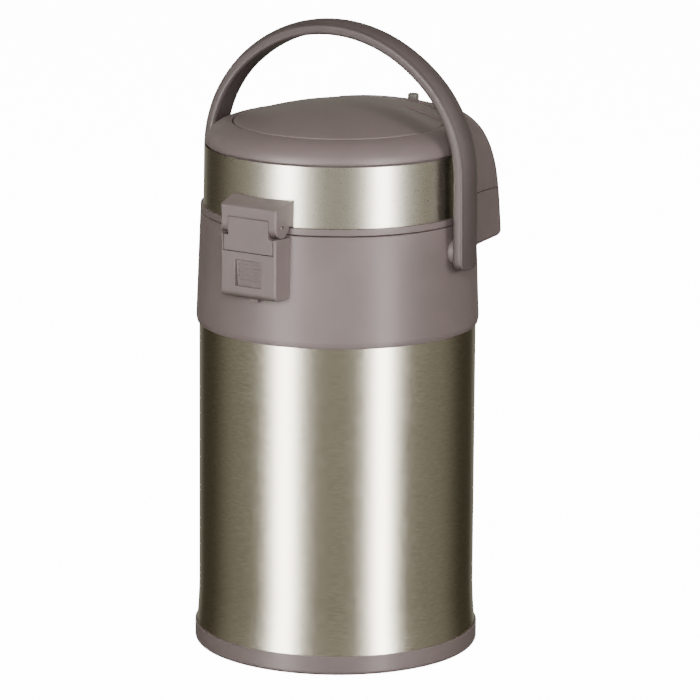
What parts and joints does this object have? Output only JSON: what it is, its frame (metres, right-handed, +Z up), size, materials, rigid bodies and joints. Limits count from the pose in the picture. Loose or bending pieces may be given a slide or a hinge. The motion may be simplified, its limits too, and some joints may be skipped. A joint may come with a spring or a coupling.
{
  "type": "thermal coffee airpot",
  "caption": "Double-wall steel coffee airpot with a hinged pump lid, push plate, spout, carrying handle, dip tube and rear lid hinge with a release slider.",
  "frame": {"origin": "centre of the circular face that the airpot stands on, on the vessel's axis", "axes": "+Z up along the vessel's axis; the spout points along -Y, the lid hinge is at +Y and the handle turns about X"},
  "size_m": [0.186, 0.2443, 0.376],
  "materials": {
    "taupe_plastic": "satin moulded, warm grey",
    "dark_plastic": "satin moulded, darker grey",
    "peg_plastic": "glossy moulded",
    "brushed_shell": "vertical satin brushing with a warm tint",
    "grained_band": "fine sparkling grain",
    "bright_steel": "bright drawn steel",
    "black_rubber": "matt rubber",
    "pale_silicone": "translucent off-white silicone, drawn opaque"
  },
  "bodies": {
    "vessel": {"non_slip_ring": "black_rubber", "base_ring": "taupe_plastic", "base_cover": "dark_plastic", "base_screws": "bright_steel", "vacuum_plate": "brushed_shell", "outer_shell": "brushed_shell", "inner_liner": "brushed_shell", "neck_gasket": "pale_silicone", "mouth_collar": "dark_plastic", "pipe_seal": "black_rubber", "shoulder": "taupe_plastic", "spout_shell": "taupe_plastic", "spout_nozzle": "dark_plastic", "dip_tube": "bright_steel", "tube_joint": "pale_silicone", "discharge_pipe": "bright_steel", "hinge_housing": "taupe_plastic", "hinge_plate": "taupe_plastic", "housing_screws": "bright_steel", "release_springs": "bright_steel", "pivot_washers": "taupe_plastic"},
    "lid": {"lid_base": "taupe_plastic", "lid_band": "grained_band", "lid_cover": "taupe_plastic", "hinge_bracket": "taupe_plastic", "hinge_pin": "bright_steel", "bracket_screws": "bright_steel", "inner_lid": "dark_plastic", "lid_gasket": "pale_silicone", "lid_screws": "bright_steel", "tip_valve_cage": "dark_plastic", "bellows_base": "dark_plastic", "check_valve": "black_rubber", "bellows": "black_rubber", "return_spring": "bright_steel"},
    "plunger": {"push_plate": "taupe_plastic", "bellows_cap": "dark_plastic", "inlet_valve": "black_rubber"},
    "lock": {"lock_knob": "peg_plastic"},
    "tip_ball": {"tip_valve_ball": "bright_steel"},
    "bail": {"handle": "taupe_plastic", "pivot_clips": "bright_steel"},
    "release": {"release_slider": "taupe_plastic"}
  },
  "joints": [
    {"name": "lid_hinge", "type": "hinge", "parent": "vessel", "child": "lid", "pos_m": [0, 0.0867, 0.2675], "axis": [-1, 0, 0], "range_deg": [0, 54]},
    {"name": "handle_swing", "type": "hinge", "parent": "vessel", "child": "bail", "pos_m": [0, 0, 0.247], "axis": [-1, 0, 0], "range_deg": [0, 130]},
    {"name": "plate_press", "type": "slide", "parent": "lid", "child": "plunger", "axis": [0, 0, 1], "range_m": [-0.018, 0], "stiffness_N_per_m": 350, "springref_m": 0.01, "deforming": ["bellows", "return_spring"]},
    {"name": "plate_lock", "type": "slide", "parent": "lid", "child": "lock", "axis": [0, 1, 0], "range_m": [0, 0.006]},
    {"name": "tip_valve", "type": "slide", "parent": "lid", "child": "tip_ball", "axis": [0, 0, 1], "range_m": [0, 0.0038]},
    {"name": "lid_release", "type": "slide", "parent": "vessel", "child": "release", "axis": [0, 0, 1], "range_m": [-0.003, 0], "stiffness_N_per_m": 200, "springref_m": 0.004, "deforming": ["release_springs"]}
  ],
  "couplings": [
    {"joint": "handle_swing", "follows": "lid_hinge", "ratio": 2.4}
  ]
}
